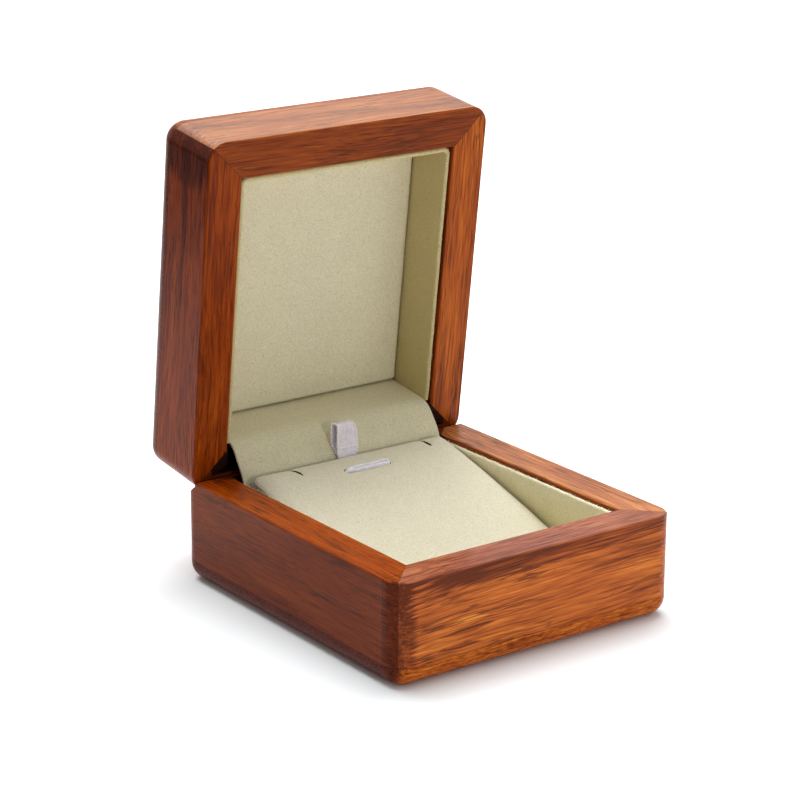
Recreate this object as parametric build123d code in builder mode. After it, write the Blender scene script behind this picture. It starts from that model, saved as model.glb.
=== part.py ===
from build123d import *
from math import cos, hypot, radians, sin, sqrt, tan
import os

# Hinged wooden pendant box with a fabric lining and a lift-out sloping pad.
# Millimetres. +X runs along the hinge, +Y towards the hinge side, +Z up. The origin is the centre
# of the underside, which stands on the table. The box is modelled open, with the lid on its stop.

# Outside of the wooden box
box_width = 86.0
box_depth = 94.0
base_height = 27.2
lid_height = 23.5
panel_thickness = 5.5
corner_radius = 5.2
panel_round = 4.8
least_flat = 0.3
rail_width = 10.2
rim_chamfer = 0.4
rim_gap = 0.1

# Hinge line: how far in from the back face and above the rim of the base, and the lid's travel
pivot_inset = 4.1
pivot_lift = 1.0
open_angle = 83.0

# Where the open lid rests: the base falls away in front of the hinge line, and a land along the
# lid's back edge comes down flat on that slope
base_shoulder = 2.1
shoulder_run = 0.3
shoulder_drop = 1.0
stop_slope = 35.0
stop_gap = 0.05
lid_shoulder = 1.2
lid_relief = 10.0

# Deep pockets routed in both back rails between the hinges and the side walls
pocket_edge = 0.2
pocket_length = 6.2
pocket_depth = 6.0
base_pocket_reach = 3.0
lid_pocket_reach = 6.2
lid_pocket_flare = 4.6

# Two small butt hinges
hinge_inset = 16.8
hinge_length = 18.0
middle_knuckle = 5.85
knuckle_gap = 0.15
knuckle_radius = 1.2
knuckle_room = 0.3
pin_radius = 0.6
pin_fit = 0.05
leaf_thickness = 0.8
leaf_setback = 0.3
mortise_room = 0.1

# Countersunk wood screws through the leaves
screw_spacing = 11.0
screw_shank_radius = 0.6
screw_head_radius = 1.4
screw_length = 6.5
screw_room = 0.04

# Card liners wrapped in microsuede, glued into both halves
liner_gap = 0.3
liner_thickness = 1.2
liner_corner = 0.8
liner_drop = 1.1
liner_chamfer = 0.4
floor_thickness = 1.2
card_thickness = 1.0
card_gap = 0.1
base_card_drop = 1.8
lid_card_drop = 3.5
join_gap = 0.2

# Padded ceiling of the lid
ceiling_board = 1.2
ceiling_foam = 2.1
ceiling_cover = 0.5
ceiling_corner = 0.8
ceiling_chamfer = 0.4

# Fabric flap that hides the hinges
flap_thickness = 0.8
flap_bend = 8.0
flap_foot_gap = 0.1

# Lift-out pad: a gently crowned slope, high at the back, that rests on the floor at the front
pad_gap = 0.3
pad_rest_gap = 0.1
pad_back_drop = 0.4
pad_crown_radius = 569.0
pad_corner = 2.6
foam_chamfer = 1.0
board_thickness = 1.0
foam_thickness = 1.5
cover_thickness = 0.4
stand_thickness = 1.2
stand_inset = 0.4
stand_front_gap = 5.0

# Slot with its satin band, two chain slits and the pull tab, a little right of the middle
trim_offset = 0.4
slot_length = 15.0
slot_width = 2.6
slot_setback = 9.0
band_thickness = 0.85
band_gap = 0.15
band_proud = 0.5
band_foot = 1.6
band_foot_thickness = 0.3
slit_width = 0.45
slit_length = 6.7
slit_bow = 0.4
left_slit = (-20.5, -18.8)
right_slit = (21.2, 21.8)
tab_width = 6.0
tab_height = 8.4
tab_depth = 2.6
tab_lean = 0.5
tab_neck = 2.8
tab_thickness = 0.35
tab_gap = 0.1
tab_bend = 0.8
notch_side_gap = 0.3

os.makedirs("parts", exist_ok=True)

# Sizes that follow from the ones above
inner_width = box_width - 2 * rail_width
inner_depth = box_depth - 2 * rail_width
back_wall = inner_depth / 2
edge_round = min(panel_round, panel_thickness - least_flat, corner_radius - least_flat)
pivot_y = box_depth / 2 - pivot_inset
pivot_z = base_height + pivot_lift
lid_rim = base_height + rim_gap
lid_ceiling = lid_rim + lid_height - panel_thickness
hinge_places = (hinge_inset - inner_width / 2, inner_width / 2 - hinge_inset)
knuckle_clear = knuckle_radius + knuckle_room
leaf_reach = rail_width - pivot_inset - leaf_setback
leaf_inside = knuckle_radius - leaf_thickness
screw_line = (leaf_reach + knuckle_clear) / 2
card_face = back_wall - card_gap - card_thickness
flap_face = card_face - flap_thickness
wall_width = inner_width - 2 * liner_gap
wall_front = liner_gap - inner_depth / 2
lined_width = wall_width - 2 * liner_thickness
lined_front = wall_front + liner_thickness
card_width = wall_width - 2 * card_gap
floor_top = panel_thickness + floor_thickness
pad_front = lined_front + pad_gap
pad_back = flap_face - pad_gap
pad_width = lined_width - 2 * pad_gap
pad_thickness = board_thickness + foam_thickness + cover_thickness
slot_y = pad_back - slot_setback
tall = base_height + lid_height
far = box_width + box_depth

# Outlines cut away behind each frame, in side view: the slope that the lid comes to rest on, the
# relief behind the lid's rim and the land that meets the slope when the lid is open
behind = box_depth / 2 + pivot_inset
slope_start = (pivot_y - base_shoulder + shoulder_run, base_height - shoulder_drop)
slope_fall = tan(radians(stop_slope))
stop_reach = (pivot_y - slope_start[0]) * sin(radians(stop_slope))
stop_reach += (pivot_z - slope_start[1]) * cos(radians(stop_slope))
land_angle = radians(open_angle - stop_slope)
land_drop = (stop_reach - stop_gap) / cos(land_angle)
land_rise = (behind - pivot_y) * tan(land_angle)
base_back_cuts = (
    (
        (pivot_y - base_shoulder, base_height),
        slope_start,
        (behind, slope_start[1] - (behind - slope_start[0]) * slope_fall),
        (behind, tall),
        (pivot_y - base_shoulder, tall),
    ),
)
lid_back_cuts = (
    (
        (pivot_y + lid_shoulder, lid_rim),
        (behind, lid_rim + (behind - pivot_y - lid_shoulder) * tan(radians(lid_relief))),
        (behind, 0),
        (pivot_y + lid_shoulder, 0),
    ),
    (
        (pivot_y, pivot_z - land_drop),
        (behind, pivot_z - land_drop + land_rise),
        (behind, 0),
        (pivot_y, 0),
    ),
)


def on_lid(plane):
    """A plane of the closed lid, turned about the hinge line to where it lies on the open lid."""
    hinge_line = Location((0, pivot_y, pivot_z))
    turn = hinge_line * Location((0, 0, 0), (-open_angle, 0, 0)) * hinge_line.inverse()
    return Plane(turn * plane.location)


def on_base(plane):
    """A plane of the base, which stays where it is."""
    return plane


def save(piece, name):
    """Label a finished piece and write it to its own file."""
    piece.label = name
    export_step(piece, f"parts/{name}.step")


lid_up = Axis((0, 0, 0), tuple(on_lid(Plane.XY).z_dir))


# Wooden frames: four mitred rails each, cut away along the back where the open lid rests on the base

def frame_blank(place, bottom, top, rim_side, back_cuts):
    """A whole frame with chamfered rim edges and its back cut to shape, before it is cut into rails."""
    with BuildPart() as blank:
        with BuildSketch(place(Plane.XY.offset(bottom))):
            RectangleRounded(box_width, box_depth, corner_radius)
            Rectangle(inner_width, inner_depth, mode=Mode.SUBTRACT)
        extrude(amount=top - bottom)
        up = Axis((0, 0, 0), tuple(place(Plane.XY).z_dir * rim_side))
        chamfer(blank.faces().sort_by(up)[-1].edges(), rim_chamfer)
        for outline in back_cuts:
            with BuildSketch(place(Plane.YZ)):
                with BuildLine():
                    Polyline(*outline, close=True)
                make_face()
            extrude(amount=box_width, both=True, mode=Mode.SUBTRACT)
    return blank.part


# One wood screw, and with a little room all round the hole that it sits in

head_depth = screw_head_radius - screw_shank_radius


def plain_screw(room):
    """A countersunk head over a straight shank, pointing down from the origin."""
    with BuildPart() as screw:
        with BuildSketch(Plane.XZ):
            with BuildLine():
                Polyline(
                    (0, 0),
                    (screw_head_radius + room, 0),
                    (screw_shank_radius + room, -head_depth),
                    (screw_shank_radius + room, -screw_length - room),
                    (0, -screw_length - room),
                    close=True,
                )
            make_face()
        revolve(axis=Axis.Z)
    return screw.part


def screw_seats(place, leaf_side, x):
    """Planes of the two screw heads of one hinge in one half, facing out of the wood."""
    seats = []
    for screw_x in (x - screw_spacing / 2, x + screw_spacing / 2):
        seat = Plane(
            (screw_x, pivot_y - screw_line, pivot_z + leaf_side * leaf_inside),
            x_dir=(1, 0, 0),
            z_dir=(0, 0, -leaf_side),
        )
        seats.append(place(seat))
    return seats


def hinge_room(place, leaf_side):
    """Mortises, knuckle room and screw holes for the hinges in one back rail."""
    mortise_floor = pivot_z + leaf_side * knuckle_radius
    with BuildPart() as room:
        for x in hinge_places:
            with BuildSketch(place(Plane.XY.offset(mortise_floor))):
                with Locations((x, pivot_y)):
                    Rectangle(
                        hinge_length + 2 * mortise_room,
                        pivot_y - back_wall,
                        align=(Align.CENTER, Align.MAX),
                    )
            extrude(amount=-leaf_side * rail_width)
            with BuildSketch(place(Plane.YZ.offset(x))):
                with Locations((pivot_y, pivot_z)):
                    Circle(knuckle_clear)
            extrude(amount=hinge_length / 2 + mortise_room, both=True)
            with Locations(*screw_seats(place, leaf_side, x)):
                add(plain_screw(screw_room))
    return room.part


def end_pockets(place, leaf_side, reach, flare):
    """The two pockets in one back rail, each running from the inner wall towards the back."""
    pocket_end = inner_width / 2 - pocket_edge
    pocket_back = back_wall + reach
    with BuildPart() as pockets:
        for side in (-1, 1):
            with BuildSketch(place(Plane.XY.offset(pivot_z - leaf_side * pivot_lift))):
                with Locations((side * (pocket_end - pocket_length / 2), pocket_back)):
                    Rectangle(pocket_length, reach + pocket_edge, align=(Align.CENTER, Align.MAX))
                if flare:
                    Polygon(
                        (side * (pocket_end - pocket_edge), pocket_back - flare / 2),
                        (side * (pocket_end + flare / 3), pocket_back - flare / 5),
                        (side * (pocket_end + flare), pocket_back),
                        (side * (pocket_end - pocket_edge), pocket_back),
                        align=None,
                    )
            extrude(amount=leaf_side * (pocket_depth + 2 * pivot_lift))
    return pockets.part


def cut_into_rails(blank, place, prefix):
    """Cut a frame along its corner mitres into its four rails."""
    reach = rail_width + corner_radius
    corners = ((-1, -1), (1, -1), (1, 1), (-1, 1))
    for index, side in enumerate(("front", "right", "back", "left")):
        ends = (corners[index], corners[(index + 1) % 4])
        outside = [(sx * box_width / 2, sy * box_depth / 2) for sx, sy in ends]
        inside = [(x - sx * reach, y - sy * reach) for (x, y), (sx, sy) in zip(outside, ends)]
        with BuildPart() as rail:
            add(blank)
            with BuildSketch(place(Plane.XY)):
                with BuildLine():
                    Polyline(*outside, *reversed(inside), close=True)
                make_face()
            extrude(amount=far, both=True, mode=Mode.INTERSECT)
        save(rail.part, f"{prefix}_{side}_rail")


with BuildPart() as base_frame:
    add(frame_blank(on_base, panel_thickness, base_height, 1, base_back_cuts))
    add(hinge_room(on_base, -1), mode=Mode.SUBTRACT)
    add(end_pockets(on_base, -1, base_pocket_reach, 0), mode=Mode.SUBTRACT)
cut_into_rails(base_frame.part, on_base, "base")

with BuildPart() as lid_frame:
    add(frame_blank(on_lid, lid_rim, lid_ceiling, -1, lid_back_cuts))
    add(hinge_room(on_lid, 1), mode=Mode.SUBTRACT)
    add(end_pockets(on_lid, 1, lid_pocket_reach, lid_pocket_flare), mode=Mode.SUBTRACT)
cut_into_rails(lid_frame.part, on_lid, "lid")


# Solid wood panels, glued over the frames and rounded over along their outer edges

with BuildPart() as base_bottom_panel:
    with BuildSketch():
        RectangleRounded(box_width, box_depth, corner_radius)
    extrude(amount=panel_thickness)
    fillet(base_bottom_panel.faces().sort_by(Axis.Z)[0].edges(), radius=edge_round)
save(base_bottom_panel.part, "base_bottom_panel")

with BuildPart() as lid_top_panel:
    with BuildSketch(on_lid(Plane.XY.offset(lid_ceiling))):
        RectangleRounded(box_width, box_depth, corner_radius)
    extrude(amount=panel_thickness)
    fillet(lid_top_panel.faces().sort_by(lid_up)[-1].edges(), radius=edge_round)
save(lid_top_panel.part, "lid_top_panel")


# Butt hinges: the base leaf carries the outer knuckles, the lid leaf the middle one

def hinge_leaf(place, x, leaf_side, other_knuckles, name):
    """One leaf with its knuckles round the pin, cut away where the other leaf's knuckles turn."""
    with BuildPart() as leaf:
        with BuildSketch(place(Plane.YZ.offset(x))):
            with Locations((pivot_y, pivot_z)):
                Circle(knuckle_radius)
            with Locations((pivot_y, pivot_z + leaf_side * (leaf_inside + leaf_thickness / 2))):
                Rectangle(leaf_reach, leaf_thickness, align=(Align.MAX, Align.CENTER))
            with Locations((pivot_y, pivot_z)):
                Circle(pin_radius + pin_fit, mode=Mode.SUBTRACT)
        extrude(amount=hinge_length / 2, both=True)
        for start, end in other_knuckles:
            with BuildSketch(place(Plane.YZ.offset(x + start))):
                with Locations((pivot_y, pivot_z)):
                    Circle(knuckle_clear)
            extrude(amount=end - start, mode=Mode.SUBTRACT)
        with Locations(*screw_seats(place, leaf_side, x)):
            add(plain_screw(screw_room), mode=Mode.SUBTRACT)
    save(leaf.part, name)


middle_end = middle_knuckle / 2
outer_start = middle_end + knuckle_gap

for x, side in zip(hinge_places, ("left", "right")):
    middle_span = ((-outer_start, outer_start),)
    outer_spans = ((-hinge_length, -middle_end), (middle_end, hinge_length))
    hinge_leaf(on_base, x, -1, middle_span, f"{side}_hinge_base_leaf")
    hinge_leaf(on_lid, x, 1, outer_spans, f"{side}_hinge_lid_leaf")
    with BuildPart() as hinge_pin:
        with BuildSketch(Plane.YZ.offset(x)):
            with Locations((pivot_y, pivot_z)):
                Circle(pin_radius)
        extrude(amount=hinge_length / 2, both=True)
    save(hinge_pin.part, f"{side}_hinge_pin")


# Countersunk screws, four to each half, with their heads flush with the leaves

def set_of_screws(place, leaf_side, name):
    """The screws of both hinges in one half, each driven into its rail through the leaf."""
    with BuildPart() as screws:
        for x in hinge_places:
            with Locations(*screw_seats(place, leaf_side, x)):
                add(plain_screw(0))
    save(screws.part, name)


set_of_screws(on_base, -1, "base_hinge_screws")
set_of_screws(on_lid, 1, "lid_hinge_screws")


# Fabric-covered liners: a strip round three walls and a card on the back wall of each half

def wall_liner(place, bottom, top, rim_side, name):
    """One strip bent round the left, front and right walls, chamfered along the rim."""
    with BuildPart() as liner:
        with BuildSketch(place(Plane.XY.offset(bottom))):
            with Locations((0, wall_front)):
                RectangleRounded(
                    wall_width, far, liner_corner + liner_thickness, align=(Align.CENTER, Align.MIN)
                )
            with Locations((0, lined_front)):
                RectangleRounded(
                    lined_width, far, liner_corner, align=(Align.CENTER, Align.MIN), mode=Mode.SUBTRACT
                )
            with Locations((0, card_face - join_gap)):
                Rectangle(box_width, 2 * far, align=(Align.CENTER, Align.MIN), mode=Mode.SUBTRACT)
        extrude(amount=top - bottom)
        up = Axis((0, 0, 0), tuple(place(Plane.XY).z_dir * rim_side))
        chamfer(liner.faces().sort_by(up)[-1].edges(), min(liner_chamfer, liner_thickness / 3))
    save(liner.part, name)


def back_card(place, bottom, top, name):
    """A flat card on the back wall, which the flap is glued to."""
    with BuildPart() as card:
        with BuildSketch(place(Plane.XY.offset(bottom))):
            with Locations((0, card_face)):
                Rectangle(card_width, card_thickness, align=(Align.CENTER, Align.MIN))
        extrude(amount=top - bottom)
    save(card.part, name)


wall_liner(on_base, panel_thickness, base_height - liner_drop, 1, "base_wall_liner")
wall_liner(on_lid, lid_rim + liner_drop, lid_ceiling, -1, "lid_wall_liner")
back_card(on_base, panel_thickness, base_height - base_card_drop, "base_back_card")
back_card(on_lid, lid_rim + lid_card_drop, lid_ceiling, "lid_back_card")

with BuildPart() as base_floor_liner:
    with BuildSketch(Plane.XY.offset(panel_thickness)):
        with Locations((0, lined_front + join_gap)):
            Rectangle(
                lined_width - 2 * join_gap,
                card_face - lined_front - 2 * join_gap,
                align=(Align.CENTER, Align.MIN),
            )
    extrude(amount=floor_thickness)
save(base_floor_liner.part, "base_floor_liner")


# Ceiling of the lid: a board with a thin foam under a fabric cover that wraps their sides

ceiling_middle = (lined_front + flap_face) / 2
ceiling_width = lined_width - 2 * join_gap
ceiling_depth = flap_face - lined_front - 2 * join_gap
foam_top = lid_ceiling - ceiling_board
foam_bottom = foam_top - ceiling_foam
cover_face = foam_bottom - ceiling_cover


def ceiling_slab(bottom, top, inset, edge):
    """A slab of the ceiling: square inside, and outside with rounded corners and a chamfered edge."""
    with BuildPart() as slab:
        with BuildSketch(on_lid(Plane.XY.offset(bottom))):
            with Locations((0, ceiling_middle)):
                if inset:
                    Rectangle(ceiling_width - 2 * inset, ceiling_depth - 2 * inset)
                else:
                    RectangleRounded(ceiling_width, ceiling_depth, ceiling_corner)
        extrude(amount=top - bottom)
        if edge:
            chamfer(slab.faces().sort_by(lid_up)[0].edges(), edge)
    return slab.part


with BuildPart() as lid_ceiling_board:
    add(ceiling_slab(foam_top, lid_ceiling, ceiling_cover, 0))
save(lid_ceiling_board.part, "lid_ceiling_board")

with BuildPart() as lid_ceiling_foam:
    add(ceiling_slab(foam_bottom, foam_top, ceiling_cover, 0))
save(lid_ceiling_foam.part, "lid_ceiling_foam")

with BuildPart() as lid_ceiling_cover:
    add(ceiling_slab(cover_face, lid_ceiling, 0, min(ceiling_chamfer, 0.8 * ceiling_cover)))
    add(ceiling_slab(foam_bottom, lid_ceiling, ceiling_cover, 0), mode=Mode.SUBTRACT)
save(lid_ceiling_cover.part, "lid_ceiling_cover")


# Fabric flap, glued to both back cards and bridging the hinge line

def opened(y, z):
    """Where a point of the closed lid's side view lies when the lid is open."""
    turn = radians(open_angle)
    back, up = y - pivot_y, z - pivot_z
    return (pivot_y + back * cos(turn) + up * sin(turn), pivot_z - back * sin(turn) + up * cos(turn))


with BuildPart() as hinge_flap:
    with BuildSketch(Plane.YZ):
        with BuildLine():
            FilletPolyline(
                (flap_face, floor_top + flap_foot_gap),
                (flap_face, pivot_z),
                opened(flap_face, lid_rim),
                opened(flap_face, lid_ceiling - join_gap),
                radius=flap_bend,
            )
            offset(amount=flap_thickness, side=Side.RIGHT)
        make_face()
    extrude(amount=lined_width / 2 - join_gap, both=True)
save(hinge_flap.part, "hinge_flap")


# Pad: every layer follows one curve, the underside, which rests on the floor at its front edge

rest_z = floor_top + pad_rest_gap
pad_rise = base_height - pad_back_drop - rest_z
pad_run = pad_back - pad_front
pad_chord = hypot(pad_run, pad_rise)
chord_to_centre = sqrt(pad_crown_radius**2 - pad_chord**2 / 4)
curve_y = (pad_front + pad_back) / 2 + chord_to_centre * pad_rise / pad_chord
curve_z = rest_z + pad_rise / 2 - chord_to_centre * pad_run / pad_chord


def pad_height(y, layer):
    """How high the pad's curve runs at one distance from front to back, above the underside."""
    return curve_z + sqrt((pad_crown_radius + layer) ** 2 - (y - curve_y) ** 2)


def under_curve(layer):
    """A solid that fills everything under one layer's curve."""
    with BuildPart() as filled:
        with BuildSketch(Plane.YZ):
            with Locations((curve_y, curve_z)):
                Circle(pad_crown_radius + layer)
        extrude(amount=box_width, both=True)
    return filled.part


def pad_slab(bottom, top, inset, edge):
    """A layer of the pad between two heights above the underside, chamfered along its upper edge."""
    with BuildPart() as slab:
        with BuildSketch():
            with Locations((0, (pad_front + pad_back) / 2)):
                RectangleRounded(
                    pad_width - 2 * inset, pad_run - 2 * inset, pad_corner + cover_thickness - inset
                )
        extrude(amount=tall)
        add(under_curve(top), mode=Mode.INTERSECT)
        add(under_curve(bottom), mode=Mode.SUBTRACT)
        if edge:
            curved = slab.faces().sort_by(SortBy.AREA)[-2:]
            chamfer(curved.sort_by(Axis.Z)[-1].edges(), edge)
    return slab.part


def pad_cuts():
    """The slot, the two slits and the notch for the tab, cut through every layer."""
    with BuildPart() as cuts:
        with BuildSketch():
            with Locations((trim_offset, slot_y)):
                SlotOverall(slot_length, slot_width)
        extrude(amount=tall)
        for back_x, front_x in (left_slit, right_slit):
            with BuildSketch():
                with BuildLine():
                    ThreePointArc(
                        (back_x, pad_back + slit_width),
                        ((back_x + front_x) / 2 + slit_bow, pad_back - slit_length / 2),
                        (front_x, pad_back - slit_length),
                    )
                trace(line_width=slit_width)
            extrude(amount=tall)
        with BuildSketch():
            with Locations((trim_offset, pad_back + far)):
                Rectangle(
                    tab_width + 2 * notch_side_gap,
                    far + 2 * (tab_thickness + tab_gap),
                    align=(Align.CENTER, Align.MAX),
                )
        extrude(amount=tall)
    return cuts.part


core_top = board_thickness + foam_thickness
foam_edge = min(foam_chamfer, 0.7 * foam_thickness)

with BuildPart() as pad_board:
    add(pad_slab(0, board_thickness, cover_thickness, 0))
    add(pad_cuts(), mode=Mode.SUBTRACT)
save(pad_board.part, "pad_board")

with BuildPart() as pad_foam:
    add(pad_slab(board_thickness, core_top, cover_thickness, foam_edge))
    add(pad_cuts(), mode=Mode.SUBTRACT)
save(pad_foam.part, "pad_foam")

with BuildPart() as pad_cover:
    add(pad_slab(0, pad_thickness, 0, foam_edge + cover_thickness / 2))
    add(pad_slab(-cover_thickness, core_top, cover_thickness, foam_edge), mode=Mode.SUBTRACT)
    add(pad_cuts(), mode=Mode.SUBTRACT)
save(pad_cover.part, "pad_cover")

with BuildPart() as pad_stand:
    with BuildSketch(Plane.XY.offset(rest_z)):
        with Locations((0, pad_back - stand_inset)):
            Rectangle(
                pad_width - 2 * stand_inset,
                pad_run - stand_inset - stand_front_gap,
                align=(Align.CENTER, Align.MAX),
            )
        with Locations((0, pad_back - stand_inset - stand_thickness)):
            Rectangle(
                pad_width - 2 * (stand_inset + stand_thickness),
                pad_run,
                align=(Align.CENTER, Align.MAX),
                mode=Mode.SUBTRACT,
            )
    extrude(amount=tall)
    add(under_curve(0), mode=Mode.INTERSECT)
save(pad_stand.part, "pad_stand")


# Satin band that lines the slot, with its ends turned out and glued under the board

with BuildPart() as satin_band:
    with BuildSketch():
        with Locations((trim_offset, slot_y)):
            SlotOverall(slot_length - 2 * band_gap, slot_width - 2 * band_gap)
    extrude(amount=tall)
    add(under_curve(pad_thickness + band_proud), mode=Mode.INTERSECT)

with BuildPart() as slot_ribbon:
    with BuildSketch():
        with Locations((trim_offset, slot_y)):
            Rectangle(slot_length + 2 * band_foot, slot_width + 2 * band_foot)
    extrude(amount=tall)
    add(under_curve(0), mode=Mode.INTERSECT)
    add(satin_band.part)
    add(under_curve(-band_foot_thickness), mode=Mode.SUBTRACT)
    with BuildSketch():
        with Locations((trim_offset, slot_y)):
            SlotOverall(
                slot_length - 2 * (band_gap + band_thickness),
                slot_width - 2 * (band_gap + band_thickness),
            )
    extrude(amount=tall, mode=Mode.SUBTRACT)
save(slot_ribbon.part, "slot_ribbon")


# Pull tab: a loop of ribbon whose two legs go down into the notch behind the pad

with BuildPart() as pull_tab:
    rear_y = pad_back - tab_thickness / 2
    front_y = rear_y - tab_thickness - tab_gap
    foot_z = pad_height(pad_back, 0) + tab_gap
    neck_z = pad_height(pad_back, pad_thickness)
    top_z = neck_z + tab_height - tab_thickness / 2
    loop_back = front_y + tab_lean + tab_depth - tab_thickness
    with BuildSketch(Plane.YZ.offset(trim_offset)):
        with BuildLine():
            FilletPolyline(
                (front_y, foot_z),
                (front_y, neck_z),
                (front_y + tab_lean, neck_z + tab_neck),
                (front_y + tab_lean, top_z),
                (loop_back, top_z),
                (loop_back, neck_z + tab_neck),
                (rear_y, neck_z),
                (rear_y, foot_z),
                radius=tab_bend,
            )
        trace(line_width=tab_thickness)
    extrude(amount=tab_width / 2, both=True)
save(pull_tab.part, "pull_tab")
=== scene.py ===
from math import cos, exp, hypot, pi, radians, sin, sqrt

import bmesh
import bpy
from mathutils import Matrix, Vector, noise


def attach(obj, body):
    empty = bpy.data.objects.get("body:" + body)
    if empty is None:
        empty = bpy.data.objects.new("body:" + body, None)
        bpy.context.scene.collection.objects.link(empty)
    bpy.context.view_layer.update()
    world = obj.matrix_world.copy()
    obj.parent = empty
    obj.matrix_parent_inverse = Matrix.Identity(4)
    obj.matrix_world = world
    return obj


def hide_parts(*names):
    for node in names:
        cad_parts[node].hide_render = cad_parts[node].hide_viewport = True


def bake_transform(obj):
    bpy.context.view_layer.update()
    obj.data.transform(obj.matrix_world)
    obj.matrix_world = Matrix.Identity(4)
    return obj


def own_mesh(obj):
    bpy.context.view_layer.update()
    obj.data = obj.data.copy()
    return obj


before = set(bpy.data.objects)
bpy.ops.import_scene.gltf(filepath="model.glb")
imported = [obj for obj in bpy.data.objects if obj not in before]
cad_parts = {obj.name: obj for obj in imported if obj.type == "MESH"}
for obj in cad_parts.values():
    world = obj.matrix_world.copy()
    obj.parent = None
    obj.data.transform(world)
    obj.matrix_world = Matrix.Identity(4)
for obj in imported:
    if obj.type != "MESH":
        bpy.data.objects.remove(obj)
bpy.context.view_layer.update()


# Frame rails of the base: four mitred lengths of reddish hardwood under a satin lacquer.
# Each rail is sawn along its own grain, so the streaks and pores run its whole length.

class Shade:
    """A socket of a material's tree. Arithmetic on it adds Math nodes."""

    def __init__(self, tree, socket=None):
        self.tree, self.socket = tree, socket

    def node(self, kind, settings=None, inputs=None, output=0):
        """Adds any node: its settings are made first, then its sockets get values or links."""
        made = self.tree.nodes.new(kind)
        for name, value in (settings or {}).items():
            if name == "stops":
                stops = made.color_ramp.elements
                while len(stops) > 1:
                    stops.remove(stops[-1])
                for index, (place, colour) in enumerate(value):
                    stop = stops.new(place) if index else stops[0]
                    stop.position, stop.color = place, colour
            else:
                setattr(made, name, value)
        for name, value in (inputs or {}).items():
            if isinstance(value, Shade):
                self.tree.links.new(value.socket, made.inputs[name])
            else:
                made.inputs[name].default_value = value
        return Shade(self.tree, made.outputs[output])

    def sum(self, operation, other, reflected=False):
        first, second = (other, self) if reflected else (self, other)
        return self.node("ShaderNodeMath", {"operation": operation}, {0: first, 1: second})

    def __add__(self, other):
        return self.sum("ADD", other)

    def __radd__(self, other):
        return self.sum("ADD", other, True)

    def __sub__(self, other):
        return self.sum("SUBTRACT", other)

    def __rsub__(self, other):
        return self.sum("SUBTRACT", other, True)

    def __mul__(self, other):
        return self.sum("MULTIPLY", other)

    def __rmul__(self, other):
        return self.sum("MULTIPLY", other, True)

    def __truediv__(self, other):
        return self.sum("DIVIDE", other)

    def __rtruediv__(self, other):
        return self.sum("DIVIDE", other, True)

    def __abs__(self):
        return self.node("ShaderNodeMath", {"operation": "ABSOLUTE"}, {0: self})

    def step(self, low, high):
        """0 below low, 1 above high, and soft between them."""
        return self.node(
            "ShaderNodeMapRange",
            {"interpolation_type": "SMOOTHSTEP"},
            {"Value": self, "From Min": low, "From Max": high, "To Min": 0.0, "To Max": 1.0},
        )

    def blend_to(self, first, second):
        """The first colour where this is 0 and the second where it is 1."""
        return self.node(
            "ShaderNodeMix", {"data_type": "RGBA"}, {0: self, 6: first, 7: second}, output=2
        )

    def axes(self):
        return [self.node("ShaderNodeSeparateXYZ", inputs={0: self}, output=i) for i in range(3)]

    def join(self, x, y, z):
        return self.node("ShaderNodeCombineXYZ", inputs={0: x, 1: y, 2: z})

    def cloud(self, detail=2.0, roughness=0.5):
        """Soft noise of unit size at this vector."""
        return self.node(
            "ShaderNodeTexNoise",
            inputs={"Vector": self, "Scale": 1.0, "Detail": detail, "Roughness": roughness},
        )


def colour(red, green, blue):
    """A colour as a paint chart gives it, from 0 to 255, in the linear values that shaders use."""
    return tuple(((c / 255 + 0.055) / 1.055) ** 2.4 for c in (red, green, blue)) + (1.0,)


def new_material(name):
    """A bare material with its Principled shader, and a Shade to build its nodes from."""
    material = bpy.data.materials.new(name)
    material.use_nodes = True
    tree = material.node_tree
    return material, tree.nodes["Principled BSDF"], Shade(tree)


def feed(shader, shade, name):
    shade.tree.links.new(shade.socket, shader.inputs[name])


# The hinge line in millimetres, and how far the lid stands open
hinge_line = Vector((0.0, 42.9, 28.2))
open_angle = radians(83)


def timber(red, green, blue):
    """A ramp of one wood's colours about its middle one, from its dark lines to its pale ones."""
    middle = colour(red, green, blue)
    shares = (
        (0.0, 0.26, 0.2, 0.22),
        (0.28, 0.62, 0.55, 0.6),
        (0.5, 1.0, 1.0, 1.0),
        (0.74, 1.34, 1.56, 1.5),
        (1.0, 1.68, 2.5, 2.6),
    )
    return [(at, (middle[0] * r, middle[1] * g, middle[2] * b, 1.0)) for at, r, g, b in shares]


def base_rim(x, y, z):
    """1 on the base's rim, whose height is 27.2 mm, and 0 below it."""
    return z.step(26.8, 27.0)


def no_rim(x, y, z):
    return z * 0.0


def darker(paint, share):
    return tuple(share * value for value in paint[:3]) + (1.0,)


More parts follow.
